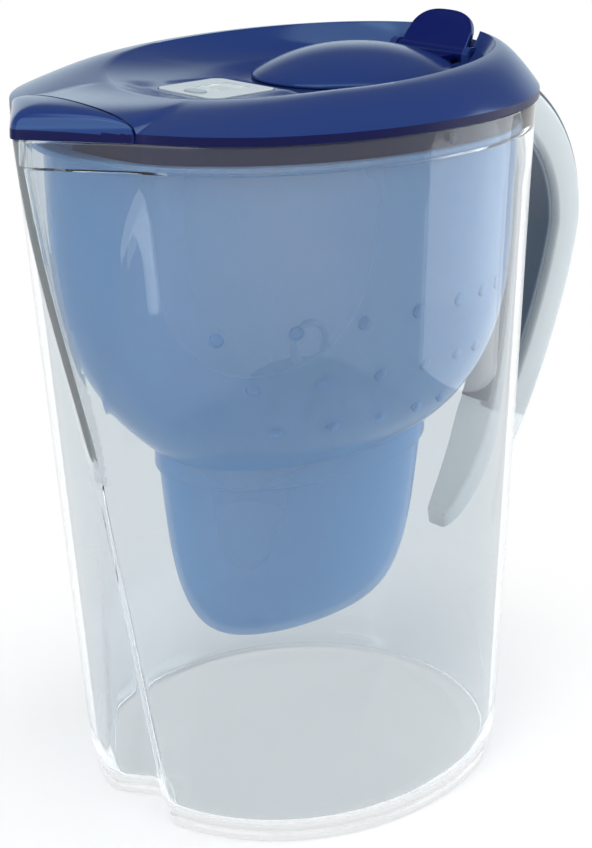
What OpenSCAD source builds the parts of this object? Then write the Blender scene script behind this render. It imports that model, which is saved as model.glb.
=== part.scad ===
// Water filter pitcher with a lift-off lid, a fill flap, a pour flap, a funnel and a filter cartridge.
// Millimetres. X runs from the spout (-X) to the handle (+X), Z is up,
// and the origin is the middle of the face that the jug stands on.

/* [Jug] */
// Height of the jug's rim
rim_z = 248; // [236:1:270]
// Reach of the oval plan to the front at the rim
rim_front = 101.5; // [98:0.5:108]
// Reach of the oval plan to the back at the rim
rim_back = 83; // [81:0.5:88]
// Half the width at the rim
rim_half = 79.6; // [78:0.2:84]
// Reach of the oval plan to the front at the base
base_front = 78; // [74:0.5:84]
// Reach of the oval plan to the back at the base
base_back = 80; // [76:0.5:82]
// Half the width at the base
base_half = 71.7; // [68:0.2:76]
// Squareness of the plan, where 2 is an ellipse
plan_n = 2.1; // [2:0.05:2.3]
// Thickness of the jug's wall
jug_wall = 2.6; // [2.2:0.1:3.2]
// Thickness of the wall above the ledge that carries the funnel
rim_wall = 2; // [1.6:0.1:2.2]
// Width of the ledge that carries the funnel
ledge_w = 1.7; // [1.4:0.1:2.2]
// Depth of that ledge below the rim
ledge_drop = 9.5; // [9:0.5:12]
// Height of the jug's inside floor
floor_z = 4.5; // [4:0.5:8]

/* [Front fold] */
// Height at which the spout's ridge turns into the groove below it
fold_z = 127; // [110:1:140]
// Reach of the spout past the oval at the rim
spout_reach = 15.7; // [12:0.5:18]
// Half the width of the spout at the rim
spout_half = 31; // [26:0.5:34]
// Depth of the groove at the base
groove_depth = 12; // [6:0.5:14]
// Half the width of the groove at the base
groove_half = 16; // [12:0.5:20]

/* [Handle] */
// Reach of the handle's back behind the middle of the jug
handle_reach = 148.5; // [146:0.5:160]
// Width of the handle
handle_w = 22; // [18:1:28]
// Depth of the handle's bar
handle_bar = 15; // [12:0.5:18]
// Thickness of the soft grip on its inner face
grip_t = 2.6; // [2:0.2:3.4]
// Thickness of the dark strip on its outer face
back_strip_t = 1.6; // [1.2:0.1:2]

/* [Funnel] */
// Thickness of the funnel's wall
funnel_wall = 1.8; // [1.6:0.1:2]
// Thickness of the funnel's flange
flange_t = 2.2; // [1.6:0.2:2.6]
// Width of the outlet slots at the foot of the well
slot_w = 2.4; // [1.6:0.2:3]
// Height of the outlet slots
slot_h = 9; // [6:0.5:10]

/* [Cartridge] */
// Gap between the cartridge and the well
cartridge_gap = 0.5; // [0.4:0.1:0.8]
// Thickness of the cartridge's wall
cup_wall = 1.4; // [1.2:0.1:1.6]
// Radius of the cap's dome
dome_r = 30; // [28:0.5:32]
// Height of the dome over the cap's flange
dome_h = 20; // [14:0.5:22]
// Bar radius of the pull ring
ring_bar = 1.5; // [1.2:0.1:1.8]

/* [Lid] */
// Height of the crown above the jug's rim
crown_h = 12.2; // [11.6:0.2:13]
// Thickness of the lid's shell
lid_t = 2; // [1.6:0.1:2.4]
// Overhang of the lid past the rim on the sides and at the back
lid_over = 0.9; // [0.6:0.1:1.6]
// Reach of the recess to the front
recess_front = 67; // [65:0.5:69]
// Reach of the recess to the back
recess_back = 80.5; // [80:0.25:81]
// Half the width of the recess
recess_half = 57.5; // [55:0.5:60]
// Depth of the recess
recess_depth = 8.9; // [8.4:0.25:9.2]
// Length of the fill hole
hole_l = 65; // [60:1:66]
// Width of the fill hole
hole_w = 52; // [48:1:54]

/* [Flaps] */
// Overlap of the fill flap past its hole
flap_over = 6; // [5:0.5:7]
// Height of the fill flap's dome
flap_dome = 8.8; // [7.6:0.2:9.4]
// Width of the thumb tab
tab_w = 31; // [26:1:34]
// Height of the thumb tab over its axle
tab_h = 13.4; // [12:0.2:15]
// Radius of the flaps' axles
axle_r = 1.5; // [1.2:0.1:1.6]
// Running clearance around the axles
axle_clear = 0.06; // [0.04:0.01:0.09]

/* [Indicator] */
// Length of the indicator's case, front to back
case_l = 28; // [26:0.5:29]
// Width of the indicator's case
case_w = 30; // [28:0.5:32]
// Depth of the indicator's case
case_d = 7; // [6.5:0.25:8]
// Length of the display, front to back
display_l = 14; // [12:0.5:15]
// Width of the display
display_w = 13; // [10:0.5:15]
// Travel of the indicator's button
button_travel = 0.6; // [0.4:0.1:0.8]

/* [Fit] */
// Gap between pieces that lie on each other
seat_gap = 0.3; // [0.25:0.05:0.4]
// Gap between pieces that slide past each other
slide_gap = 0.6; // [0.5:0.1:0.8]

/* [Hidden] */

// Columns round the oval part of a section, and steps on each flank of the fold
side_cols = 44;
nose_steps = 3;
// Columns of a plain oval
oval_cols = 44;
// Smoothness of exact round shapes
$fn = 48;

// Half the width that is left of the fold where the spout meets the groove
fold_min = 1.2;
// How much faster the fold's ridge moves in than the wall does, for the slope of its flanks
flank_ratio = 1.23;

// ---- numbers and curves ----

function mix(a, b, t) = a + (b - a) * t;
function signed_pow(v, p) = sign(v) * pow(abs(v), p);
// Height t of a quarter wave that starts steep, for t from 0 to 1
function ease(t, power) = pow(sin(90 * t), power);

// A point of an oval plan at angle a, where 180 is the front
function oval_point(front, back, half, a) = [
    (cos(a) < 0 ? front : back) * signed_pow(cos(a), 2 / plan_n),
    half * signed_pow(sin(a), 2 / plan_n)
];
function oval(front, back, half, z, mid = 0) = [
    for (k = [0 : oval_cols - 1])
        let (p = oval_point(front, back, half, 360 * k / oval_cols - 180))
        [p.x + mid, p.y, z]
];

// ---- the jug's plan at a height ----

function front_at(z) = mix(base_front, rim_front, z / rim_z);
function back_at(z) = mix(base_back, rim_back, z / rim_z);
function half_at(z) = mix(base_half, rim_half, z / rim_z);
// Share of the way up the spout, and down the groove
function spout_share(z) = max(0, z - fold_z) / (rim_z - fold_z);
function groove_share(z) = max(0, fold_z - z) / fold_z;
function fold_half_at(z) = z > fold_z
    ? mix(fold_min, spout_half, spout_share(z))
    : mix(fold_min, groove_half, groove_share(z));
// Reach of the spout's ridge, or of the groove's bottom
function ridge_at(z) = front_at(z)
    + spout_reach * ease(min(1, spout_share(z)), 1.3)
    - groove_depth * groove_share(z);

function crease_angle(half, w) = asin(pow(w / half, plan_n / 2));
// Closed outline of the jug at a height, with its wall moved in by inset
function section(z, inset, level) = let (
    front = front_at(z) - inset,
    back = back_at(z) - inset,
    half = half_at(z) - inset,
    w = fold_half_at(z),
    turn = 180 - crease_angle(half, w),
    crease = oval_point(front, back, half, turn),
    ridge = -(ridge_at(z) - flank_ratio * inset)
) concat(
    [for (k = [0 : side_cols])
        let (p = oval_point(front, back, half, mix(-turn, turn, k / side_cols)))
        [p.x, p.y, level]],
    [for (k = [1 : 2 * nose_steps - 1])
        let (s = 1 - k / nose_steps)
        [mix(ridge, crease.x, abs(s)), w * s, level]]
);

// ---- solids from rows of points ----

// Rows of equal length become a closed skin. The first row is the lower cap and the last the upper
// cap, and the rows run up the outside. A looped skin has no caps.
module skin(rows, looped = false) {
    n = len(rows[0]);
    last = len(rows) - (looped ? 1 : 2);
    sides = [
        for (i = [0 : last], j = [0 : n - 1])
            let (
                here = i * n,
                next = ((i + 1) % len(rows)) * n,
                right = (j + 1) % n
            )
            each [[here + j, next + j, next + right], [here + j, next + right, here + right]]
    ];
    caps = looped ? [] : [
        [for (j = [0 : n - 1]) j],
        [for (j = [n - 1 : -1 : 0]) (len(rows) - 1) * n + j]
    ];
    polyhedron(points = [for (r = rows) each r], faces = concat(sides, caps), convexity = 12);
}

// A box with rounded upright edges, standing on z = 0
module rounded_box(size, r) {
    linear_extrude(size.z)
        for (x = [-1, 1], y = [-1, 1])
            translate([x * (size.x / 2 - r), y * (size.y / 2 - r)]) circle(r);
    linear_extrude(size.z) square([size.x - 2 * r, size.y], center = true);
    linear_extrude(size.z) square([size.x, size.y - 2 * r], center = true);
}

// ---- jug ----

foot_inset = 1.9;
foot_top = 2.8;
foot_groove = 1;
foot_round = 0.8;
plate_t = 1;
seat_z = rim_z - ledge_drop;
ledge_inset = rim_wall + ledge_w;
ledge_taper = 12;
rim_round = 0.5;

foot_rows = [
    [plate_t / 2, foot_inset + foot_round / 2],
    [foot_round, foot_inset],
    [foot_top, foot_inset],
    [foot_top + 0.6, foot_inset + foot_groove],
    [foot_top + 1.6, foot_inset + foot_groove * 0.7],
    [7, 0.9],
    [11, 0.25],
    [16, 0]
];
wall_steps = 7;
lower_heights = [for (k = [1 : wall_steps]) mix(16, fold_z, k / wall_steps)];
upper_heights = [for (k = [1 : wall_steps]) mix(fold_z, rim_z - 1, k / wall_steps)];
inner_low = [for (k = [wall_steps - 1 : -1 : 0]) mix(16, fold_z, k / wall_steps)];
inner_high = [for (k = [wall_steps : -1 : 0]) mix(fold_z, seat_z - ledge_taper, k / wall_steps)];

module jug_skin() {
    skin(concat(
        [for (r = foot_rows) section(r[0], r[1], r[0])],
        [for (z = lower_heights) section(z, 0, z)],
        [for (z = upper_heights) section(z, 0, z)],
        [
            section(rim_z, rim_round, rim_z),
            section(rim_z, rim_wall - rim_round, rim_z),
            section(rim_z - rim_round, rim_wall, rim_z - rim_round),
            section(seat_z, rim_wall, seat_z),
            section(seat_z, ledge_inset, seat_z)
        ],
        [for (z = inner_high) section(z, jug_wall, z)],
        [for (z = inner_low) section(z, jug_wall, z)],
        [
            section(10, jug_wall + 1, floor_z + 5.5),
            section(7, jug_wall + 4, floor_z + 1.6),
            section(5, jug_wall + 9, floor_z)
        ]
    ));
}
module jug_body() {
    color([0.86, 0.89, 0.91, 0.35])
        union() {
            jug_skin();
            linear_extrude(plate_t) polygon([for (q = section(0, foot_inset + foot_round, 0)) [q.x, q.y]]);
        }
}

// ---- handle ----

handle_top = rim_z - 9.5;
handle_mid = rim_z - 66;
handle_low = 68;
handle_steps = 26;
// How far the handle's ends are rooted in the jug's wall
root_depth = 1.2;
// Squareness of the handle's upper and lower curve
upper_n = 2;
lower_n = 1.34;
// Size that is left of the bar at its lower end, and the share of its length over which it tapers
tail_size = 0.36;
tail_share = 0.21;
handle_bow = handle_reach - handle_bar / 2;
// Middle line of the bar as t runs from 0 at the lower root to 1 at the upper root
function handle_point(t) = let (
    a = 180 * t - 90,
    up = a > 0,
    n = up ? upper_n : lower_n,
    reach = up ? handle_top - handle_mid : handle_mid - handle_low,
    z = handle_mid + reach * signed_pow(sin(a), 2 / n)
) [mix(back_at(z) - root_depth, handle_bow, pow(max(0, cos(a)), 2 / n)), z];
function handle_size(t) = mix(tail_size, 1, min(1, t / tail_share));
function handle_tangent(t) = let (
    a = handle_point(max(0, t - 0.01)),
    b = handle_point(min(1, t + 0.01)),
    d = b - a
) d / norm(d);
// One ring round the bar: across is the width, low and high are measured out from the middle line
function handle_ring(t, across, low, high, bevel) = let (
    p = handle_point(t),
    k = handle_size(t),
    d = handle_tangent(t),
    out = [d.y, -d.x],
    w = across / 2,
    corners = [
        [-w + bevel, low], [-w, low + bevel], [-w, high - bevel], [-w + bevel, high],
        [w - bevel, high], [w, high - bevel], [w, low + bevel], [w - bevel, low]
    ]
) [for (c = corners) [p.x + out.x * c.y * k, c.x * k, p.y + out.y * c.y * k]];
module handle_sweep(across, low, high, bevel, from, to) {
    skin([for (k = [from : to]) handle_ring(k / handle_steps, across, low, high, bevel)]);
}
// Steps of the handle where the grip and the back strip start and end, and the glue gap under them
grip_ends = [6, 22];
strip_ends = [6, 25];
glue_gap = 0.02;
strip_margin = 2.2;
strip_w = handle_w - 2 * strip_margin;

module handle_frame() {
    color([0.82, 0.86, 0.88, 0.5])
        handle_sweep(handle_w, -handle_bar / 2, handle_bar / 2, 2, 0, handle_steps);
}
module handle_grip() {
    color([0.36, 0.41, 0.5])
        handle_sweep(strip_w, -handle_bar / 2 - grip_t, -handle_bar / 2 - glue_gap, 0.8,
            grip_ends[0], grip_ends[1]);
}
module handle_back_strip() {
    color([0.2, 0.22, 0.26])
        handle_sweep(strip_w, handle_bar / 2 + glue_gap, handle_bar / 2 + back_strip_t, 0.5,
            strip_ends[0], strip_ends[1]);
}

// ---- funnel: hopper, collar and the well that holds the cartridge ----

flange_z = seat_z + seat_gap;
flange_top = flange_z + flange_t;
flange_round = 0.4;
hopper_depth = 110;
collar_z = flange_z - hopper_depth;
collar_h = 8;
well_depth = 63.5;
well_top = collar_z - collar_h;
// Room between the jug's outer plan and the hopper, at the front, back and sides
hopper_front_gap = 11.5;
hopper_back_gap = 7.4;
hopper_side_gap = 5.2;
// The well's plan at its top, and how far the collar stands out from it
well_front = 55;
well_back = 54;
well_half = 36;
collar_step = 1.5;
hopper_curve = 4.2;
hopper_share = [0, 0.04, 0.09, 0.15, 0.22, 0.3, 0.4, 0.52, 0.66, 0.82, 1];
well_share = [0, 0.2, 0.4, 0.58, 0.72, 0.84, 0.93, 0.98, 1];

function swell(u) = 1 - pow(1 - u, hopper_curve);
function hopper_row(u, inset, lift = 0) = let (z = mix(collar_z, flange_z, u) + lift, s = swell(u)) oval(
    mix(well_front + collar_step, front_at(flange_z) - hopper_front_gap, s) - inset,
    mix(well_back + collar_step, back_at(flange_z) - hopper_back_gap, s) - inset,
    mix(well_half + collar_step, half_at(flange_z) - hopper_side_gap, s) - inset,
    z
);
// How far the well's wall leans in, and how far its foot is rounded
well_lean = 6;
well_round = 15;
function well_inset(v) = well_lean * v + well_round * (1 - sqrt(max(0, 1 - pow(v, 4))));
function well_row(v, inset, lift = 0) = oval(
    well_front - well_inset(v) - inset,
    well_back - well_inset(v) - inset,
    well_half - well_inset(v) - inset,
    well_top - well_depth * v + lift
);
function collar_row(z, inset) = oval(
    well_front + collar_step - inset, well_back + collar_step - inset,
    well_half + collar_step - inset, z
);
function flange_row(z, inset) = oval(
    front_at(flange_z) - rim_wall - slide_gap - inset,
    back_at(flange_z) - rim_wall - slide_gap - inset,
    half_at(flange_z) - rim_wall - slide_gap - inset,
    z
);
last_well = len(well_share) - 1;
last_hopper = len(hopper_share) - 1;

module funnel_skin() {
    skin(concat(
        [for (k = [last_well : -1 : 0]) well_row(well_share[k], 0)],
        [collar_row(well_top + 0.8, 0.2), collar_row(well_top + 1.4, 0), collar_row(collar_z - 0.4, 0)],
        [for (k = [0 : last_hopper - 1]) hopper_row(hopper_share[k], 0)],
        [
            hopper_row(1, 0),
            flange_row(flange_z, 0.8),
            flange_row(flange_z + 0.6, 0),
            flange_row(flange_top - flange_round, 0),
            flange_row(flange_top, flange_round),
            hopper_row(1, flange_round, flange_t)
        ],
        [for (k = [last_hopper : -1 : 0]) hopper_row(hopper_share[k], funnel_wall)],
        [collar_row(well_top + funnel_wall, funnel_wall)],
        [for (k = [0 : last_well]) well_row(well_share[k], funnel_wall, funnel_wall * (k > 0 ? 1 : 0.95))]
    ));
}
// Outlet slots low in the well's side
slot_places = [-76, -25, 0, 25, 76, 170, 190, 256];
slot_share = 0.82;
module funnel() {
    color([0.53, 0.65, 0.8, 0.6])
        difference() {
            funnel_skin();
            for (a = slot_places)
                rotate([0, 0, a])
                    translate([well_half * 0.5, -slot_w / 2, well_top - well_depth * slot_share - slot_h / 2])
                        cube([well_front, slot_w, slot_h]);
        }
}

// ---- filter cartridge ----

cup_inset = funnel_wall + cartridge_gap;
cup_share = [for (v = well_share) if (v < 0.95) v];
last_cup = len(cup_share) - 1;
cup_lift = funnel_wall + seat_gap;
cap_flange_z = well_top + funnel_wall + seat_gap;
cap_flange_t = 2.4;
cap_inset = funnel_wall + cartridge_gap;
dome_mid = 8;
dome_z = collar_z + 1;
mesh_t = 0.8;
mesh_gap = 0.4;
// How far each mesh lies inside the cup's ends
lower_mesh_lift = 5;
upper_mesh_drop = 6;
granule_gap = 0.3;

function cup_row(k, inset) = well_row(
    cup_share[k], cup_inset + inset, cup_lift + (k == last_cup ? inset : 0)
);
cup_top = cap_flange_z - seat_gap;
function cup_rim(inset) = oval(
    well_front - cup_inset - inset, well_back - cup_inset - inset, well_half - cup_inset - inset, cup_top
);
// The cup's inside, moved in by a gap
function core_plan(z, gap) = let (
    v = (well_top + cup_lift - z) / well_depth,
    inset = well_inset(v) + cup_inset + cup_wall + gap
) oval(well_front - inset, well_back - inset, well_half - inset, z);
cup_floor = cup_row(last_cup, 0)[0].z;

module cartridge_cup() {
    color([0.93, 0.95, 0.97])
        difference() {
            skin(concat(
                [for (k = [last_cup : -1 : 0]) cup_row(k, 0)],
                [cup_rim(0), cup_rim(cup_wall)],
                [for (k = [0 : last_cup]) cup_row(k, cup_wall)]
            ));
            for (a = [0 : 30 : 330])
                rotate([0, 0, a])
                    translate([13, -1, cup_floor - 1])
                        cube([7, 2, 4]);
        }
}
lower_mesh_z = cup_floor + cup_wall + lower_mesh_lift;
module mesh_disc(z) {
    skin([core_plan(z, mesh_gap), core_plan(z + mesh_t, mesh_gap)]);
}
module lower_mesh() {
    color([0.86, 0.88, 0.9])
        mesh_disc(lower_mesh_z);
}
upper_mesh_z = cup_top - upper_mesh_drop;
module upper_mesh() {
    color([0.86, 0.88, 0.9])
        mesh_disc(upper_mesh_z);
}
granule_low = lower_mesh_z + mesh_t;
module filter_granules() {
    color([0.3, 0.28, 0.26])
        skin([for (k = [0 : 5])
            core_plan(mix(granule_low + 0.01, upper_mesh_z - 0.01, k / 5), granule_gap)]);
}
// Cap: a flange over the cup, a low wall in the collar and a dome with vents
function cap_row(z, inset) = collar_row(z, cap_inset + inset);
function dome_row(t, inset) = oval(
    (dome_r - inset) * cos(80 * t), (dome_r - inset) * cos(80 * t),
    (dome_r - 1 - inset) * cos(80 * t), dome_z + (dome_h - inset) * sin(80 * t) / sin(80), dome_mid
);
dome_steps = 7;
module cartridge_cap() {
    color([0.88, 0.91, 0.95])
        difference() {
            skin(concat(
                [for (k = [dome_steps : -1 : 0]) dome_row(k / dome_steps, 1.6)],
                [cap_row(cap_flange_z + cap_flange_t, cup_wall + 3.4), cap_row(cap_flange_z, cup_wall + 3)],
                [
                    cap_row(cap_flange_z, 0.3),
                    cap_row(dome_z - 1.6, 0.3),
                    cap_row(dome_z, 1.2)
                ],
                [for (k = [0 : dome_steps]) dome_row(k / dome_steps, 0)]
            ));
            for (a = [15 : 30 : 345])
                translate([dome_mid, 0, dome_z + dome_h * 0.42])
                    rotate([0, 0, a])
                        translate([dome_r * 0.6, -0.8, 0])
                            cube([dome_r * 0.6, 1.6, dome_h * 0.2]);
        }
}
module cartridge_seal() {
    color([0.3, 0.34, 0.4])
        skin([
            cup_seal_row(0, 0.1), cup_seal_row(1, 0.1),
            cup_seal_row(1, cup_wall), cup_seal_row(0, cup_wall)
        ], looped = true);
}
function cup_seal_row(top, inset) = oval(
    well_front - cup_inset - inset, well_back - cup_inset - inset, well_half - cup_inset - inset,
    mix(cup_top, cap_flange_z, top)
);
ring_r = 8;
ring_z = dome_z + dome_h + ring_r - 1;
module pull_ring() {
    color([0.9, 0.93, 0.96])
        translate([dome_mid, 0, ring_z])
            rotate([90, 0, 0])
                rotate_extrude() translate([ring_r, 0]) circle(ring_bar);
}

// ---- lid ----

lid_low = rim_z + seat_gap;
// The crown's height over the middle of the jug, and how much it rises towards the back
crown_z = rim_z + crown_h;
crown_slope = 0.03;
// How far the front tip of the recess dips below that line, and where the dip begins
crown_dip = 2.4;
dip_from = -30;
band_z = rim_z + 3;
recess_z = crown_z - recess_depth;
skirt_low = flange_top + 2 * seat_gap;
skirt_t = 1.6;
// The jug narrows from its rim to the foot of the lid's skirt
skirt_inset = rim_wall + slide_gap + front_at(rim_z) - front_at(skirt_low);
// The seam over the spout: how far its ends lie behind the crease, its bow and its rise
seam_back = 0.5;
seam_bow = 2.9;
seam_rise = 7;
// Turn over which the overhang fades out towards the spout
fade_turn = 30;
hole_mid = 29;
hole_step = flap_over + 2;
spout_turn = 180 - crease_angle(half_at(rim_z), spout_half);
crease_x = oval_point(front_at(rim_z), back_at(rim_z), half_at(rim_z), spout_turn).x;

// Share of the way across the spout for each of the lid's front columns, and their angles
nose_shares = [for (k = [1 : 2 * nose_steps - 1]) 1 - k / nose_steps];
lid_angles = concat(
    [for (k = [0 : side_cols]) mix(-spout_turn, spout_turn, k / side_cols)],
    [for (s = nose_shares) (s < 0 ? -1 : 1) * mix(180, spout_turn, abs(s))]
);
lid_cols = len(lid_angles);
// 0 on the sides, and 1 in the middle of the seam over the spout
seam_share = concat([for (k = [0 : side_cols]) 0], [for (s = nose_shares) 1 - s * s]);
function seam_x(s) = crease_x + seam_back - seam_bow * (1 - s * s);
function seam_z(s) = band_z + seam_rise * sqrt(max(0, 1 - s * s));

// The lid's outline, moved in by inset on the sides, and by front_inset next to the spout and at its seam
function lid_outline(inset, front_inset) = concat(
    [for (k = [0 : side_cols]) let (
        fade = min(1, (spout_turn - abs(lid_angles[k])) / fade_turn),
        move = mix(front_inset, inset, fade)
    ) oval_point(front_at(rim_z) - move, back_at(rim_z) - move, half_at(rim_z) - move, lid_angles[k])],
    [for (s = nose_shares) [seam_x(s) + front_inset - seam_back, spout_half * s]]
);
function round_point(front, back, half, a) = [(cos(a) < 0 ? front : back) * cos(a), half * sin(a)];
recess_edge = [for (a = lid_angles) round_point(recess_front, recess_back, recess_half, a)];
function hole_edge(step) = [for (a = lid_angles)
    round_point(hole_l / 2 + step, hole_l / 2 + step, hole_w / 2 + step, a) + [hole_mid, 0]];
function mixed_rows(outer, inner, t, heights) = [
    for (k = [0 : lid_cols - 1]) let (p = mix(outer[k], inner[k], t)) [p.x, p.y, heights[k]]
];
function level_row(plan, z) = [for (p = plan) [p.x, p.y, z]];
edge_heights = [for (k = [0 : lid_cols - 1]) band_z + seam_rise * sqrt(seam_share[k])];
// Height of the crown at share t of the way from the edge to the recess
crown_edge = [for (p = recess_edge) crown_z + crown_slope * p.x
    - crown_dip * pow(max(0, (dip_from - p.x) / (dip_from + recess_front)), 1.3)];
function crown_heights(t, drop) = [for (k = [0 : lid_cols - 1])
    mix(edge_heights[k], crown_edge[k], ease(t, 0.95)) - drop];
// Height of the recess at share q of the way from its edge to its floor
function bowl_heights(q, drop) = [for (h = crown_edge) mix(h, recess_z, ease(q, 0.9)) - drop];

crown_steps = 5;
bowl_share = [0.04, 0.16, 0.3, 0.48, 0.7, 1];
outer_plan = lid_outline(-lid_over, seam_back);
under_plan = lid_outline(skirt_inset + skirt_t, skirt_inset + skirt_t);

module lid_skin() {
    floor_edge = hole_edge(hole_step);
    skin(concat(
        [level_row(outer_plan, lid_low)],
        [for (k = [0 : crown_steps]) mixed_rows(outer_plan, recess_edge, k / crown_steps,
            crown_heights(k / crown_steps, 0))],
        [for (q = bowl_share) mixed_rows(recess_edge, floor_edge, q, bowl_heights(q, 0))],
        [level_row(hole_edge(0), recess_z), level_row(hole_edge(0), recess_z - lid_t)],
        [for (k = [len(bowl_share) - 1 : -1 : 0])
            mixed_rows(recess_edge, floor_edge, bowl_share[k], bowl_heights(bowl_share[k], lid_t))],
        [for (k = [crown_steps : -1 : 0]) mixed_rows(under_plan, recess_edge, k / crown_steps,
            crown_heights(k / crown_steps, lid_t))],
        [
            level_row(under_plan, skirt_low),
            level_row(lid_outline(skirt_inset, skirt_inset), skirt_low),
            level_row(lid_outline(skirt_inset, skirt_inset), lid_low)
        ]
    ), looped = true);
}

// Pocket for the indicator, in the front of the recess
case_mid = -35;
case_r = 4;
case_top = recess_z + 2.4;
case_low = case_top - case_d;
pocket_wall = 1.6;
pocket_gap = 0.3;
module pocket_block() {
    translate([case_mid, 0, case_low - pocket_gap - pocket_wall])
        rounded_box([
            case_l + 2 * (pocket_gap + pocket_wall), case_w + 2 * (pocket_gap + pocket_wall),
            case_d + pocket_gap + pocket_wall - 0.6
        ], case_r + pocket_wall);
}
module pocket_hollow() {
    translate([case_mid, 0, case_low - pocket_gap])
        rounded_box([case_l + 2 * pocket_gap, case_w + 2 * pocket_gap, case_d + crown_h], case_r);
}

module lid_shell() {
    color([0.16, 0.2, 0.46])
        difference() {
            union() {
                lid_skin();
                pocket_block();
            }
            pocket_hollow();
            translate([pour_axle_x, 0, pour_axle_z])
                rotate([90, 0, 0])
                    cylinder(r = heel_swing + seat_gap, h = 2 * spout_half + 2, center = true);
            translate([fill_axle_x, 0, fill_axle_z]) {
                rotate([90, 0, 0]) cylinder(r = barrel_r + seat_gap, h = tab_room, center = true);
                cube([axle_room, tab_room + 2 * lug_t, axle_room], center = true);
                rotate([0, tab_lean + flap_swing, 0])
                    translate([-tab_length, -tab_room / 2, 0])
                        cube([tab_length + tab_t / 2 + seat_gap, tab_room, 2 * tab_length]);
            }
        }
}

// ---- fill flap, its thumb tab and its hinge ----

lug_t = 3;
fill_axle_x = 70.3;
fill_axle_z = recess_z + 3.5;
// How far the fill flap opens, in degrees
flap_swing = 32;
barrel_r = axle_r + 0.9;
lug_from = tab_w / 2 + slide_gap;
lug_r = 2.9;
lug_sink = 1;
tab_room = tab_w + 2 * slide_gap;
// Square channel that keeps the lid clear of the axle inside its ears
axle_room = 2 * (axle_r + seat_gap);
tab_margin = 3;
flap_z = recess_z + seat_gap;
flap_rim = 1.4;
flap_t = 1.8;
tab_t = 2.6;
tab_lean = 33;
tab_length = tab_h / cos(tab_lean);
flap_steps = 6;

function flap_plan(r, z) = [for (k = [0 : oval_cols - 1])
    let (p = round_point(hole_l / 2 + flap_over, hole_l / 2 + flap_over, hole_w / 2 + flap_over,
        360 * k / oval_cols - 180))
    [p.x * r + hole_mid, p.y * r, z]];
function dome_level(r) = flap_z + flap_rim + flap_dome * (1 - pow(r, 2.2));
module fill_flap() {
    shares = [for (k = [0 : flap_steps]) mix(0.08, 0.97, k / flap_steps)];
    color([0.15, 0.18, 0.44])
        skin(concat(
            [for (r = shares) flap_plan(min(r, 0.94), dome_level(r) - flap_t + 0.4 * r)],
            [flap_plan(0.94, flap_z), flap_plan(0.995, flap_z), flap_plan(1, flap_z + 0.4),
                flap_plan(1, flap_z + flap_rim * 0.8)],
            [for (k = [flap_steps : -1 : 0]) flap_plan(shares[k], dome_level(shares[k]))]
        ));
}
module thumb_tab() {
    arm_low = -1.9;
    arm_t = 2;
    arm_reach = 11;
    color([0.08, 0.09, 0.4])
        translate([fill_axle_x, 0, fill_axle_z])
            difference() {
                union() {
                    rotate([0, tab_lean, 0])
                        translate([-tab_t / 2, 0, 0])
                            rotate([90, 0, 90])
                                linear_extrude(tab_t)
                                    polygon([for (a = [0 : 7.5 : 180])
                                        [tab_w / 2 * signed_pow(cos(a), 0.75),
                                            tab_length * pow(sin(a), 0.62)]]);
                    rotate([90, 0, 0]) cylinder(r = barrel_r, h = tab_w, center = true);
                    translate([-arm_reach, -tab_w / 2 + tab_margin, arm_low])
                        cube([arm_reach, tab_w - 2 * tab_margin, arm_t]);
                }
                rotate([90, 0, 0]) cylinder(r = axle_r, h = tab_w + 2, center = true);
            }
}
module fill_flap_axle() {
    color([0.1, 0.11, 0.36])
        translate([fill_axle_x, 0, fill_axle_z])
            rotate([90, 0, 0])
                cylinder(r = axle_r, h = 2 * (lug_from + lug_t), center = true);
}
// An ear with a bore along Y, standing on a foot
module lug(r, foot_from, foot_to, foot_low, foot_high, y_from) {
    difference() {
        union() {
            translate([0, y_from + lug_t, 0]) rotate([90, 0, 0]) cylinder(r = r, h = lug_t);
            translate([foot_from, y_from, foot_low])
                cube([foot_to - foot_from, lug_t, foot_high - foot_low]);
        }
        translate([0, y_from + lug_t + 1, 0])
            rotate([90, 0, 0])
                cylinder(r = axle_r + axle_clear, h = lug_t + 2);
    }
}
module fill_flap_lugs() {
    foot = recess_z - lug_sink - fill_axle_z;
    color([0.15, 0.18, 0.44])
        translate([fill_axle_x, 0, fill_axle_z])
            for (side = [0, 1])
                mirror([0, side, 0])
                    lug(lug_r, -lug_r, lug_r, foot, 0, lug_from);
}

// ---- pour flap over the spout ----

pour_gap = 1;
pour_t = 1.6;
pour_lug_r = axle_r + 0.9;
pour_lug_from = 8;
pour_axle_x = seam_x(0) - pour_gap - pour_lug_r;
pour_axle_z = seam_z((pour_lug_from + lug_t) / spout_half) - pour_t - slide_gap - pour_lug_r;
// Room that the flap's upper rear edge needs, and that its lower rear corners may use
heel_swing = norm([pour_lug_r, seam_z(0) - pour_axle_z]);
corner_swing = pour_axle_z - rim_z - 2 * seat_gap;
// How far above the axle the trimming of those corners begins, as a turn
corner_turn = 8;
pour_web = 3;
shelf_t = 2.4;
shelf_top = pour_axle_z - heel_swing - seat_gap;
pour_steps = 12;
pour_profile = 8;
pour_n = 4;
pour_end = 0.95;
tip_round = 0.05;

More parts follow.
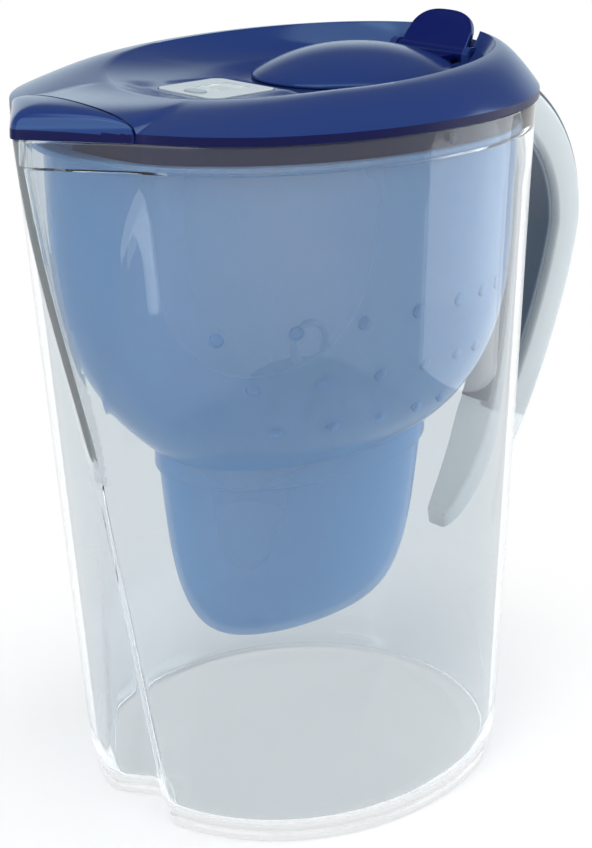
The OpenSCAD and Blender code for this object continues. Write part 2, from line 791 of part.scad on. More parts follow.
// Reach of the flap's front edge at share s across the spout
function pour_front(s) = mix(-ridge_at(rim_z), crease_x,
    (sqrt(s * s + tip_round * tip_round * (1 - s * s)) - tip_round) / (1 - tip_round));
function pour_point(s, t, inset) = [
    mix(seam_x(s) - pour_gap, pour_front(s) + inset, pow(sin(90 * t), 2 / pour_n)),
    spout_half * s,
    mix(lid_low, seam_z(s) - inset, pow(cos(90 * t), 2 / pour_n))
];
function pour_ring(s) = concat(
    [for (k = [0 : pour_profile]) pour_point(s, k / pour_profile, 0)],
    [for (k = [pour_profile : -1 : 0]) pour_point(s, k / pour_profile, pour_t * (1 - 0.55 * s * s))]
);
module pour_flap() {
    color([0.2, 0.27, 0.52])
        union() {
            difference() {
                skin([for (k = [0 : pour_steps]) pour_ring(mix(pour_end, -pour_end, k / pour_steps))]);
                translate([pour_axle_x, 0, pour_axle_z])
                    rotate([90, 0, 0])
                        linear_extrude(2 * spout_half, center = true)
                            polygon(concat(
                                [for (k = [0 : 3]) let (a = mix(-corner_turn, 90, k / 3))
                                    corner_swing * [cos(a), -sin(a)]],
                                [for (p = [[0, -1], [1, -1], [cos(corner_turn), sin(corner_turn)]])
                                    2 * corner_swing * p]
                            ));
            }
            for (side = [-1, 1])
                translate([
                    pour_axle_x - pour_lug_r, side * (pour_lug_from - slide_gap - pour_web / 2) - pour_web / 2,
                    pour_axle_z - axle_r / 2
                ])
                    cube([2 * pour_lug_r, pour_web, seam_z(0) - pour_t / 2 - pour_axle_z + axle_r / 2]);
        }
}
module pour_flap_axle() {
    color([0.1, 0.11, 0.36])
        translate([pour_axle_x, 0, pour_axle_z])
            rotate([90, 0, 0])
                cylinder(r = axle_r, h = 2 * (pour_lug_from + lug_t), center = true);
}
// Two ears on a shelf that reaches out from the lid under the flap
module pour_flap_lugs() {
    reach = heel_swing + seat_gap + 2;
    half = pour_lug_from + lug_t;
    color([0.15, 0.18, 0.44])
        translate([pour_axle_x, 0, pour_axle_z])
            union() {
                translate([-pour_lug_r, -half, shelf_top - shelf_t - pour_axle_z])
                    cube([pour_lug_r + reach, 2 * half, shelf_t]);
                for (side = [0, 1])
                    mirror([0, side, 0])
                        lug(pour_lug_r, -pour_lug_r, pour_lug_r,
                            shelf_top - lug_sink - pour_axle_z, 0, pour_lug_from);
            }
}

// ---- indicator ----

bezel_t = 1;
case_wall = 1.2;
lens_t = 0.8;
panel_t = 1;
board_t = 1;
cell_r = 8;
cell_t = 2;
button_x = -case_l / 2 + case_wall + 3.8;
button_r = 2.2;
button_l = 8.4;
// How far the button stands over the bezel
button_rise = 0.4;
display_margin = 4;
display_x = case_l / 2 - display_margin - display_l / 2;
// Gap round the pieces that are laid into the case
lay_gap = 0.1;
board_l = case_l - 2 * (case_wall + lay_gap);
board_w = case_w - 2 * (case_wall + lay_gap);
board_notch = 2;
module button_shape(r, h, length) {
    for (y = [-1, 1])
        translate([0, y * (length / 2 - r), 0]) cylinder(r = r, h = h);
    translate([-r, -(length / 2 - r), 0]) cube([2 * r, length - 2 * r, h]);
}
panel_z = case_top - lens_t - panel_t;
board_z = panel_z - board_t;
cell_z = board_z - cell_t;
module case_place(z) {
    translate([case_mid, 0, z]) children();
}
module indicator_case() {
    color([0.72, 0.74, 0.76])
        case_place(case_low)
            difference() {
                rounded_box([case_l, case_w, case_d - bezel_t], case_r);
                translate([0, 0, case_wall])
                    rounded_box([case_l - 2 * case_wall, case_w - 2 * case_wall, case_d], case_r - case_wall);
            }
}
module indicator_bezel() {
    color([0.74, 0.76, 0.78])
        case_place(case_top - bezel_t)
            difference() {
                rounded_box([case_l, case_w, bezel_t], case_r);
                translate([display_x - display_l / 2, -display_w / 2, -1])
                    cube([display_l, display_w, bezel_t + 2]);
                translate([button_x, 0, -1])
                    button_shape(button_r + pocket_gap, bezel_t + 2, button_l + 2 * pocket_gap);
            }
}
module display_lens() {
    color([0.8, 0.84, 0.86, 0.5])
        case_place(case_top - lens_t)
            translate([display_x - display_l / 2 + lay_gap, -display_w / 2 + lay_gap, 0])
                cube([display_l - 2 * lay_gap, display_w - 2 * lay_gap, lens_t - lay_gap]);
}
module display_panel() {
    color([0.62, 0.67, 0.6])
        case_place(panel_z)
            translate([display_x - display_l / 2 - 1, -display_w / 2 - 1, 0])
                cube([display_l + 2, display_w + 2, panel_t - (bezel_t - lens_t)]);
}
module circuit_board() {
    color([0.16, 0.36, 0.24])
        case_place(board_z)
            difference() {
                translate([-board_l / 2, -board_w / 2, 0]) cube([board_l, board_w, board_t]);
                for (x = [-1, 1], y = [-1, 1])
                    translate([x * board_l / 2 - board_notch, y * board_w / 2 - board_notch, -1])
                        cube([2 * board_notch, 2 * board_notch, board_t + 2]);
            }
}
module button_cell() {
    color([0.75, 0.76, 0.78])
        case_place(cell_z)
            translate([display_x, 0, 0]) cylinder(r = cell_r, h = cell_t);
}
button_low = board_z + board_t + button_travel + lay_gap;
module indicator_button() {
    color([0.66, 0.69, 0.72])
        case_place(button_low)
            translate([button_x, 0, 0])
                button_shape(button_r, case_top + button_rise - button_low, button_l);
}

jug_body();
handle_frame();
handle_grip();
handle_back_strip();
funnel();
cartridge_cup();
cartridge_cap();
cartridge_seal();
upper_mesh();
lower_mesh();
filter_granules();
pull_ring();
lid_shell();
fill_flap_lugs();
pour_flap_lugs();
indicator_case();
indicator_bezel();
display_panel();
display_lens();
circuit_board();
button_cell();
indicator_button();
fill_flap();
thumb_tab();
fill_flap_axle();
pour_flap();
pour_flap_axle();
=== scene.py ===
"""Looks of a water filter pitcher with a fill flap and a pour flap, around its CAD frame."""
import math

import bmesh
import bpy
from mathutils import Matrix, Vector


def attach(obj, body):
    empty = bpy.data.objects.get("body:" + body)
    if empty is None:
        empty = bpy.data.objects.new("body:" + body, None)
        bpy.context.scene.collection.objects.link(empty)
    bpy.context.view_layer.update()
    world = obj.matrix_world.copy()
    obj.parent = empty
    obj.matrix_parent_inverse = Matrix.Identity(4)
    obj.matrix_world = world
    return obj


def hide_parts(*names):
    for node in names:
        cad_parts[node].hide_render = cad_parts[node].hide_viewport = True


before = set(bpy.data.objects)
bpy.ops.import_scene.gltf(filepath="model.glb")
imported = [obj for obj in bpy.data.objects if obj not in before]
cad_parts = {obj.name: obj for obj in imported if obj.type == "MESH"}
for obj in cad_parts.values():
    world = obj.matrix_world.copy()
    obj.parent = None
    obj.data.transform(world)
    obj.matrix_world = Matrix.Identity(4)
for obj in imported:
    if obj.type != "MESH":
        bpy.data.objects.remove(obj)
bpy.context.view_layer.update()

bl_info = {
    "name": "Water filter pitcher",
    "version": (1, 0, 0),
    "blender": (4, 5, 0),
    "location": "3D View > Sidebar > Pitcher",
    "description": "Dresses the frame of a water filter pitcher",
    "category": "Object",
}

MM = 0.001

# ---- sizes that the pieces share, in millimetres ----

RIM_Z = 248.0
RIM = (101.5, 83.0, 79.6)
BASE = (78.0, 80.0, 71.7)
PLAN_N = 2.1
FOLD_Z = 127.0
SPOUT_REACH = 15.7
SPOUT_HALF = 31.0
GROOVE_DEPTH = 12.0
GROOVE_HALF = 16.0
FOLD_MIN = 1.2
FLANK_RATIO = 1.23
JUG_WALL = 2.6
RIM_WALL = 2.0
LEDGE_INSET = 3.7
SEAT_Z = 238.5
FLOOR_Z = 4.5
FLANGE_Z = 238.8
FLANGE_T = 2.2
FUNNEL_WALL = 1.8
COLLAR_Z = 128.8
WELL_TOP = 120.8
WELL_DEPTH = 63.5
WELL = (55.0, 54.0, 36.0)
COLLAR_STEP = 1.5
HOPPER_GAPS = (11.5, 7.4, 5.2)
HOPPER_CURVE = 4.2
LID_LOW = 248.3
BAND_Z = 251.0
CROWN_Z = 260.2
CROWN_SLOPE = 0.03
CROWN_DIP = 2.4
DIP_FROM = -30.0
RECESS_Z = 251.3
RECESS = (67.0, 80.5, 57.5)
LID_OVER = 0.9
LID_T = 2.0
SKIRT_LOW = 241.6
SKIRT_INSET = 3.206
SKIRT_T = 1.6
HOLE_MID = 29.0
HOLE = (32.5, 26.0)
FLAP = (38.5, 32.0)
FLAP_DOME = 8.8
TAB_LEAN = math.radians(33)
TAB_HEIGHT = 13.4
TAB_HALF = 15.5
BARREL_R = 2.4
FLAP_SWING = math.radians(32)
SEAM_BACK = 0.5
SEAM_BOW = 2.9
SEAM_RISE = 7.0
CASE_MID = -35.0
CASE = (28.0, 30.0)
CASE_TOP = 253.7
CASE_LOW = 246.7
FILL_AXLE = (70.3, 254.8)
POUR_AXLE = (-100.369, 252.944)
POUR_SWING = 5.9
POUR_ROUND = 0.66
KEEL_HALF = 3.0


# ---- curves ----

def mix(a, b, t):
    return a + (b - a) * t


def signed_pow(v, p):
    return math.copysign(abs(v) ** p, v)


def smooth(t):
    t = min(1.0, max(0.0, t))
    return t * t * (3 - 2 * t)


def ease(t, power):
    return math.sin(math.pi / 2 * min(1.0, max(0.0, t))) ** power


def oval_point(plan, inset, turn):
    """A point of an oval plan (front, back, half), where turn pi is the front."""
    front, back, half = plan
    reach = (front if math.cos(turn) < 0 else back) - inset
    return Vector((
        reach * signed_pow(math.cos(turn), 2 / PLAN_N),
        (half - inset) * signed_pow(math.sin(turn), 2 / PLAN_N),
    ))


def jug_plan(z):
    return tuple(mix(low, high, z / RIM_Z) for low, high in zip(BASE, RIM))


def fold_half(z):
    if z > FOLD_Z:
        return mix(FOLD_MIN, SPOUT_HALF, (z - FOLD_Z) / (RIM_Z - FOLD_Z))
    return mix(FOLD_MIN, GROOVE_HALF, (FOLD_Z - z) / FOLD_Z)


def ridge(z):
    up = max(0.0, z - FOLD_Z) / (RIM_Z - FOLD_Z)
    down = max(0.0, FOLD_Z - z) / FOLD_Z
    return jug_plan(z)[0] + SPOUT_REACH * ease(up, 1.3) - GROOVE_DEPTH * down


def crease_turn(half, w):
    return math.asin((w / half) ** (PLAN_N / 2))


def soften(points, passes):
    """Rounds the corners of a closed plan a little."""
    for _ in range(passes):
        n = len(points)
        points = [(points[i - 1] + points[i] * 2 + points[(i + 1) % n]) / 4 for i in range(n)]
    return points


JUG_SIDE = 150
JUG_NOSE = 18
NOSE_FADE = math.radians(35)


def jug_section(z, inset, level, nose_inset=None, passes=2):
    """A level section of the jug; its spout may be inset less than its oval."""
    nose_inset = inset if nose_inset is None else nose_inset
    plan = jug_plan(z)
    w = fold_half(z)
    turn = math.pi - crease_turn(plan[2] - nose_inset, w)
    crease = oval_point(plan, nose_inset, turn)
    tip = -(ridge(z) - FLANK_RATIO * nose_inset)
    points = []
    for k in range(JUG_SIDE + 1):
        a = mix(-turn, turn, k / JUG_SIDE)
        points.append(oval_point(plan, mix(nose_inset, inset, smooth((turn - abs(a)) / NOSE_FADE)), a))
    for k in range(1, 2 * JUG_NOSE):
        s = 1 - k / JUG_NOSE
        points.append(Vector((mix(tip, crease.x, abs(s)), w * s)))
    return [Vector((p.x, p.y, level)) for p in soften(points, passes)]


def oval_row(plan, inset, z, cols=128, mid=0.0):
    return [
        Vector((p.x + mid, p.y, z))
        for p in (oval_point(plan, inset, 2 * math.pi * k / cols - math.pi) for k in range(cols))
    ]


# ---- meshes ----

def finish_piece(name, bm, settings_material, body, replaces=(), sharp=None):
    """Turns a bmesh in millimetres into a piece that rides on a body."""
    bmesh.ops.remove_doubles(bm, verts=bm.verts, dist=0.002)
    bmesh.ops.recalc_face_normals(bm, faces=bm.faces)
    bmesh.ops.scale(bm, vec=(MM, MM, MM), verts=bm.verts)
    mesh = bpy.data.meshes.new(name)
    bm.to_mesh(mesh)
    bm.free()
    for poly in mesh.polygons:
        poly.use_smooth = True
    if sharp is not None:
        mesh.set_sharp_from_angle(angle=math.radians(sharp))
    mesh.materials.append(settings_material)
    obj = bpy.data.objects.new(name, mesh)
    bpy.context.scene.collection.objects.link(obj)
    if body:
        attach(obj, body)
    if replaces:
        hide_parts(*replaces)
    return obj


def second_finish(obj, finish, test):
    """Gives the faces that pass a test a finish of their own."""
    obj.data.materials.append(finish)
    for poly in obj.data.polygons:
        if test(poly.center / MM, poly.normal):
            poly.material_index = 1


def on_painted_shade_band(centre, normal):
    """True on the upright edge and the skirt of the lid, which take painted shade."""
    return centre.z < BAND_Z and abs(normal.z) < 0.9


def on_keel(centre, normal):
    """True on the ridge that runs down the front of the jug, which takes painted shade."""
    return centre.z > FOLD_Z and centre.x < 0 and abs(centre.y) < KEEL_HALF


def first_ring(bm, row):
    verts = [bm.verts.new(p) for p in row]
    edges = [bm.edges.new((verts[i], verts[(i + 1) % len(verts)])) for i in range(len(verts))]
    return verts, edges


def next_ring(bm, verts, edges, row):
    """Extrudes a ring of edges and moves the new ring to its row."""
    made = bmesh.ops.extrude_edge_only(bm, edges=edges)["geom"]
    new_verts = {g for g in made if isinstance(g, bmesh.types.BMVert)}
    following = []
    for v, p in zip(verts, row):
        copy = next(e.other_vert(v) for e in v.link_edges if e.other_vert(v) in new_verts)
        copy.co = p
        following.append(copy)
    count = len(following)
    new_edges = [bm.edges.get((following[i], following[(i + 1) % count])) for i in range(count)]
    return following, new_edges


def loft(bm, rows, looped=False, caps=True):
    """A skin through rows of equal length, closed by caps or by joining its ends."""
    verts, edges = first_ring(bm, rows[0])
    start = edges
    for row in rows[1:]:
        verts, edges = next_ring(bm, verts, edges, row)
    if looped:
        bmesh.ops.bridge_loops(bm, edges=start + edges)
    elif caps:
        bmesh.ops.edgeloop_fill(bm, edges=start)
        bmesh.ops.edgeloop_fill(bm, edges=edges)


def rounded_outline(length, width, r, steps=8):
    points = []
    for cx, cy, turn in ((1, 1, 0), (-1, 1, 90), (-1, -1, 180), (1, -1, 270)):
        for k in range(steps + 1):
            a = math.radians(turn + 90 * k / steps)
            points.append(Vector((
                cx * (length / 2 - r) + r * math.cos(a), cy * (width / 2 - r) + r * math.sin(a))))
    return points


# ---- materials ----

CLOUD_MM = 60
GRAIN_DEPTH_MM = 0.02
GLOSS_SPREAD = 0.15


def linear(hex_colour, alpha=1.0):
    """An sRGB hex colour as linear numbers."""
    values = [int(hex_colour[i:i + 2], 16) / 255 for i in (1, 3, 5)]
    return tuple(v / 12.92 if v <= 0.04045 else ((v + 0.055) / 1.055) ** 2.4 for v in values) + (alpha,)


def add(tree, kind, links=None, inputs=None, **settings):
    """Adds a node with its settings, its input values and its links."""
    made = tree.nodes.new(kind)
    for key, value in settings.items():
        setattr(made, key, value)
    for key, value in (inputs or {}).items():
        made.inputs[key].default_value = value
    for key, source in (links or {}).items():
        tree.links.new(source, made.inputs[key])
    return made


def new_material(name):
    material = bpy.data.materials.new(name)
    material.use_nodes = True
    material.node_tree.nodes.clear()
    return material, material.node_tree


def plastic(name, colour, roughness, grain_mm, bump, shade=0.04, gloss_tint="#FFFFFF", edge_alpha=None,
            **sockets):
    """Moulded plastic: an even colour with faint cloudiness, and a fine grain in its gloss.

    Sockets are set by name with _ for a space; edge_alpha makes the wall thicker to the eye at its edges.
    """
    material, tree = new_material(name)
    place = add(tree, "ShaderNodeTexCoord")
    cloud = add(tree, "ShaderNodeTexNoise", {"Vector": place.outputs["Object"]},
                {"Scale": 1 / (CLOUD_MM * MM), "Detail": 2.0})
    low = tuple(c * (1 - shade) for c in linear(colour)[:3]) + (1.0,)
    tint = add(tree, "ShaderNodeMix", {"Factor": cloud.outputs["Fac"]}, data_type="RGBA")
    tint.inputs["A"].default_value = low
    tint.inputs["B"].default_value = linear(colour)
    grain = add(tree, "ShaderNodeTexNoise", {"Vector": place.outputs["Object"]},
                {"Scale": 1 / (grain_mm * MM), "Detail": 3.0})
    relief = add(tree, "ShaderNodeBump", {"Height": grain.outputs["Fac"]},
                 {"Strength": bump, "Distance": GRAIN_DEPTH_MM * MM})
    gloss = add(tree, "ShaderNodeMapRange", {"Value": grain.outputs["Fac"]},
                {"To Min": roughness * (1 - GLOSS_SPREAD), "To Max": roughness * (1 + GLOSS_SPREAD)})
    shader = add(tree, "ShaderNodeBsdfPrincipled", {
        "Base Color": tint.outputs["Result"], "Roughness": gloss.outputs["Result"],
        "Normal": relief.outputs["Normal"],
    }, {"Specular Tint": linear(gloss_tint)} | {
        key.replace("_", " "): value for key, value in sockets.items()})
    if edge_alpha:
        facing = add(tree, "ShaderNodeLayerWeight", inputs={"Blend": 0.5})
        cover = add(tree, "ShaderNodeMapRange", {"Value": facing.outputs["Facing"]},
                    {"To Min": edge_alpha[0], "To Max": edge_alpha[1]})
        tree.links.new(cover.outputs["Result"], shader.inputs["Alpha"])
    add(tree, "ShaderNodeOutputMaterial", {"Surface": shader.outputs["BSDF"]})
    return material


MATERIALS = {}


def material(name):
    return MATERIALS[name]


def dress(node, name):
    """Gives a CAD node a finished material in its slots."""
    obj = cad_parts[node]
    for slot in obj.material_slots:
        slot.material = material(name)
    if not obj.material_slots:
        obj.data.materials.append(material(name))


class PitcherColours(bpy.types.PropertyGroup):
    """Colours of the pitcher's plastics"""
    lid: bpy.props.StringProperty(
        name="Lid", description="Colour of the lid, as sRGB hex", default="#24366E")
    tab: bpy.props.StringProperty(
        name="Thumb tab", description="Colour of the thumb tab, as sRGB hex", default="#10185A")
    funnel: bpy.props.StringProperty(
        name="Funnel", description="Colour of the funnel, as sRGB hex", default="#78ACE0")
    jug: bpy.props.StringProperty(
        name="Jug", description="Colour of the jug's clear plastic, as sRGB hex", default="#E6EBEE")
    grip: bpy.props.StringProperty(
        name="Grip", description="Colour of the grip, as sRGB hex", default="#69727F")


class PitcherStage(bpy.types.PropertyGroup):
    """Sizes of the stage, its lamps and its camera"""
    floor_size: bpy.props.FloatProperty(
        name="Floor", description="Length of the floor's sides", default=6.0, unit="LENGTH")
    lens: bpy.props.FloatProperty(
        name="Lens", description="Focal length of the camera in millimetres", default=81.07)
    key_power: bpy.props.FloatProperty(
        name="Key lamp", description="Power of the large lamp in watts", default=9.0)
    fill_power: bpy.props.FloatProperty(
        name="Fill lamp", description="Power of the lamp on the other side in watts", default=11.0)
    card_power: bpy.props.FloatProperty(
        name="Card", description="Power of the wide card close to the jug in watts", default=0.34)
    strip_power: bpy.props.FloatProperty(
        name="Strip", description="Power of the narrow lamp by the spout in watts", default=0.1)


class PITCHER_OT_materials(bpy.types.Operator):
    """Makes the plastics, the rubber and the metal of the pitcher"""
    bl_idname = "pitcher.materials"
    bl_label = "Pitcher materials"

    def execute(self, context):
        colours = context.scene.pitcher_colours
        # Clear styrene plastic, injection moulded and polished. It bends light less than the real plastic
        # does, so that the fold isn't darkened by light that can't get out
        MATERIALS["clear"] = plastic("Clear styrene plastic", colours.jug, 0.015, 9.0, 0.002, shade=0.01,
                                     Transmission_Weight=1.0, IOR=1.2,
                                     Coat_Weight=0.6, Coat_Roughness=0.02)
        # The same plastic at the fold, part grey and less clear: painted shade that stands in for the grey of
        # light bent in the fold
        MATERIALS["keel"] = plastic("Clear styrene plastic with painted shade at a fold", "#D2D7DA", 0.03, 9.0, 0.002,
                                    shade=0.02, Transmission_Weight=0.75, IOR=1.12,
                                    Coat_Weight=1.0, Coat_Roughness=0.02)
        # Clear styrene plastic in a thick bar: a little cloudy, so that it looks pale grey
        MATERIALS["bar"] = plastic("Thick clear styrene plastic", "#F4F7F8", 0.08, 9.0, 0.02, shade=0.02,
                                   edge_alpha=(0.35, 0.8), IOR=1.5)
        # Tinted styrene plastic, injection moulded: light passes through, more where the wall is seen flat on
        MATERIALS["funnel"] = plastic("Tinted styrene plastic", colours.funnel, 0.12, 6.0, 0.003, shade=0.03,
                                      edge_alpha=(0.36, 0.85), IOR=1.4)
        # Opaque ABS, injection moulded in a polished mould: deep colour with a cool gloss
        MATERIALS["lid"] = plastic("Gloss ABS plastic", colours.lid, 0.16, 3.0, 0.02, shade=0.06,
                                   gloss_tint="#A9D8F0", IOR=1.45)
        # The same plastic with painted shade: far darker and duller, for where it lies in the shade of the
        # lid's own edge
        MATERIALS["lid_painted_shade"] = plastic("ABS plastic with painted shade", "#070B40", 0.3, 3.0, 0.02,
                                        Specular_IOR_Level=0.15)
        MATERIALS["tab"] = plastic("Dark gloss ABS plastic", colours.tab, 0.12, 3.0, 0.02, shade=0.06,
                                   gloss_tint="#A9D8F0", IOR=1.45)
        # Thermoplastic rubber, moulded: satin and soft
        MATERIALS["grip"] = plastic("Soft-touch rubber", colours.grip, 0.38, 0.8, 0.2, shade=0.08)
        MATERIALS["dark"] = plastic("Satin dark plastic", "#3A4250", 0.3, 1.5, 0.1, shade=0.08)
        MATERIALS["white"] = plastic("White polypropylene", "#E9EEF2", 0.35, 2.0, 0.1, shade=0.03)
        MATERIALS["seal"] = plastic("Silicone rubber", "#5B6470", 0.5, 1.0, 0.2)
        MATERIALS["granules"] = plastic("Packed carbon granules", "#3B3733", 0.8, 0.9, 1.0, shade=0.5)
        MATERIALS["mesh"] = plastic("Woven filter mesh", "#DDE2E6", 0.6, 0.5, 0.8, shade=0.2)
        MATERIALS["silver"] = plastic("Silver painted plastic", "#C4C8CB", 0.3, 0.4, 0.15, shade=0.05)
        MATERIALS["display"] = plastic("Display film", "#9AA39E", 0.35, 0.5, 0.1, shade=0.06)
        MATERIALS["segments"] = plastic("Display segments", "#3E4648", 0.4, 0.5, 0.1)
        MATERIALS["board"] = plastic("Epoxy circuit board", "#2D6B47", 0.45, 0.6, 0.3, shade=0.15)
        MATERIALS["cell"] = plastic("Nickel plated steel", "#B9BABC", 0.25, 0.4, 0.15, Metallic=1.0)
        MATERIALS["button"] = plastic("Satin grey plastic", "#A9AFB6", 0.35, 0.8, 0.1)
        MATERIALS["lens"] = plastic("Clear acrylic window", "#F2F5F6", 0.04, 5.0, 0.02, shade=0.01,
                                    Transmission_Weight=0.9, IOR=1.3)
        return {"FINISHED"}


FOOT_TOP = 16.0
STEP_LOW = 226.5
PIP_R = 1.5
PIP_FLAT = 0.35
PIP_PLACE = (-7.2, -78.9, 244.2)


class PITCHER_OT_jug(bpy.types.Operator):
    """Makes the clear jug with its spout ridge, groove and foot"""
    bl_idname = "pitcher.jug"
    bl_label = "Jug"

    def execute(self, context):
        bm = bmesh.new()
        foot = [
            (0.0, 2.7), (0.25, 2.1), (0.8, 1.9), (2.6, 1.9), (2.9, 2.1),
            (3.3, 2.9), (3.9, 2.8), (4.6, 2.4), (5.6, 1.5), (7.0, 0.9), (9.0, 0.45), (11.0, 0.25),
            (FOOT_TOP, 0.0),
        ]
        rows = [jug_section(z, inset, z) for z, inset in foot]
        for k in range(1, 61):
            z = mix(FOOT_TOP, RIM_Z - 1, k / 60)
            rows.append(jug_section(z, 0, z))
        rows += [jug_section(RIM_Z, inset, level) for inset, level in (
            (0.06, 247.3), (0.2, 247.7), (0.5, RIM_Z), (1.5, RIM_Z), (1.85, 247.8), (2.0, 247.4),
            (2.0, 239.5))]
        rows += [jug_section(z, inset, z, nose) for z, inset, nose in (
            (SEAT_Z, RIM_WALL, 2.2), (SEAT_Z, RIM_WALL + 0.3, 2.21), (SEAT_Z, LEDGE_INSET, 2.22),
            (238.0, 3.7, 2.25), (233.0, 3.2, 2.4), (STEP_LOW, JUG_WALL, JUG_WALL))]
        for k in range(56, -1, -1):
            z = mix(FOOT_TOP, STEP_LOW, k / 56)
            rows.append(jug_section(z, JUG_WALL, z))
        rows += [jug_section(z, JUG_WALL + inset, level) for z, inset, level in (
            (12, 0.4, 12.0), (10, 1.0, 9.4), (9, 2.2, 7.4), (8, 4.2, 5.7), (7, 6.6, 4.9), (6, 10, FLOOR_Z))]
        loft(bm, rows)
        shell = finish_piece("jug_shell", bm, material("clear"), "jug", ("jug_body",), sharp=40)
        # The ridge gets a greyer, less clear finish: painted shade
        second_finish(shell, material("keel"), on_keel)

        pip = bmesh.new()
        bmesh.ops.create_uvsphere(pip, u_segments=20, v_segments=10, radius=PIP_R)
        bmesh.ops.scale(pip, vec=(1, PIP_FLAT, 1), verts=pip.verts)
        bmesh.ops.translate(pip, vec=PIP_PLACE, verts=pip.verts)
        finish_piece("rim_pip", pip, material("seal"), "jug", ())
        return {"FINISHED"}


HANDLE_TOP = RIM_Z - 9.5
HANDLE_MID = RIM_Z - 66
HANDLE_LOW = 68.0
HANDLE_BAR = 15.0
HANDLE_W = 22.0
HANDLE_BOW = 148.5 - HANDLE_BAR / 2
HANDLE_CURVES = (1.34, 2.0)
TAIL = (0.36, 0.21)
HANDLE_STEPS = 130
STRIP_W = HANDLE_W - 4.4
GRIP_SPAN = (6 / 26, 22 / 26)
STRIP_SPAN = (6 / 26, 25 / 26)
GRIP_T = 2.6
STRIP_T = 1.6
GLUE_GAP = 0.02


def handle_point(t):
    a = math.pi * t - math.pi / 2
    up = a > 0
    n = HANDLE_CURVES[1] if up else HANDLE_CURVES[0]
    reach = HANDLE_TOP - HANDLE_MID if up else HANDLE_MID - HANDLE_LOW
    z = HANDLE_MID + reach * signed_pow(math.sin(a), 2 / n)
    x = mix(jug_plan(z)[1] - 1.2, HANDLE_BOW, max(0.0, math.cos(a)) ** (2 / n))
    return Vector((x, z))


def handle_row(t, width, low, high, bevel):
    """A rounded section of the handle; low and high are measured out from its middle line."""
    p = handle_point(t)
    d = (handle_point(min(1.0, t + 0.004)) - handle_point(max(0.0, t - 0.004))).normalized()
    out = Vector((d.y, -d.x))
    mid = (low + high) / 2
    size = mix(TAIL[0], 1.0, min(1.0, t / TAIL[1]))
    row = []
    for q in rounded_outline(width, high - low, bevel, 5):
        r = (q.y + mid) * size
        row.append(Vector((p.x + out.x * r, q.x * size, p.y + out.y * r)))
    return row


class PITCHER_OT_handle(bpy.types.Operator):
    """Makes the clear handle with its soft grip and its dark back strip"""
    bl_idname = "pitcher.handle"
    bl_label = "Handle"

    def execute(self, context):
        parts = (
            ("handle_bar", 0.0, 1.0, HANDLE_W, -HANDLE_BAR / 2, HANDLE_BAR / 2, 2.2, "bar",
             "handle_frame", "handle_clear"),
            ("grip_pad", *GRIP_SPAN, STRIP_W, -HANDLE_BAR / 2 - GRIP_T, -HANDLE_BAR / 2 - GLUE_GAP, 0.9,
             "grip", "handle_grip", "grip"),
            ("back_strip", *STRIP_SPAN, STRIP_W, HANDLE_BAR / 2 + GLUE_GAP, HANDLE_BAR / 2 + STRIP_T, 0.6,
             "dark", "handle_back_strip", "dark_strip"),
        )
        for name, start, end, width, low, high, bevel, finish, node, slot in parts:
            bm = bmesh.new()
            loft(bm, [handle_row(mix(start, end, k / HANDLE_STEPS), width, low, high, bevel)
                      for k in range(HANDLE_STEPS + 1)])
            finish_piece(name, bm, material(finish), "jug", (node,), sharp=50)
        return {"FINISHED"}


def funnel_plan(z):
    """The hopper's plan (front, back, half) at a height."""
    u = (z - COLLAR_Z) / (FLANGE_Z - COLLAR_Z)
    s = 1 - max(0.0, 1 - u) ** HOPPER_CURVE
    top = jug_plan(FLANGE_Z)
    return tuple(mix(w + COLLAR_STEP, t - g, s) for w, t, g in zip(WELL, top, HOPPER_GAPS))


def well_inset(v):
    return 6 * v + 15 * (1 - math.sqrt(max(0.0, 1 - v ** 4)))


DIMPLE_R = 2.4
DIMPLE_FLAT = 0.35
DIMPLE_RISE = 0.6
DIMPLE_CLOSING = 0.85


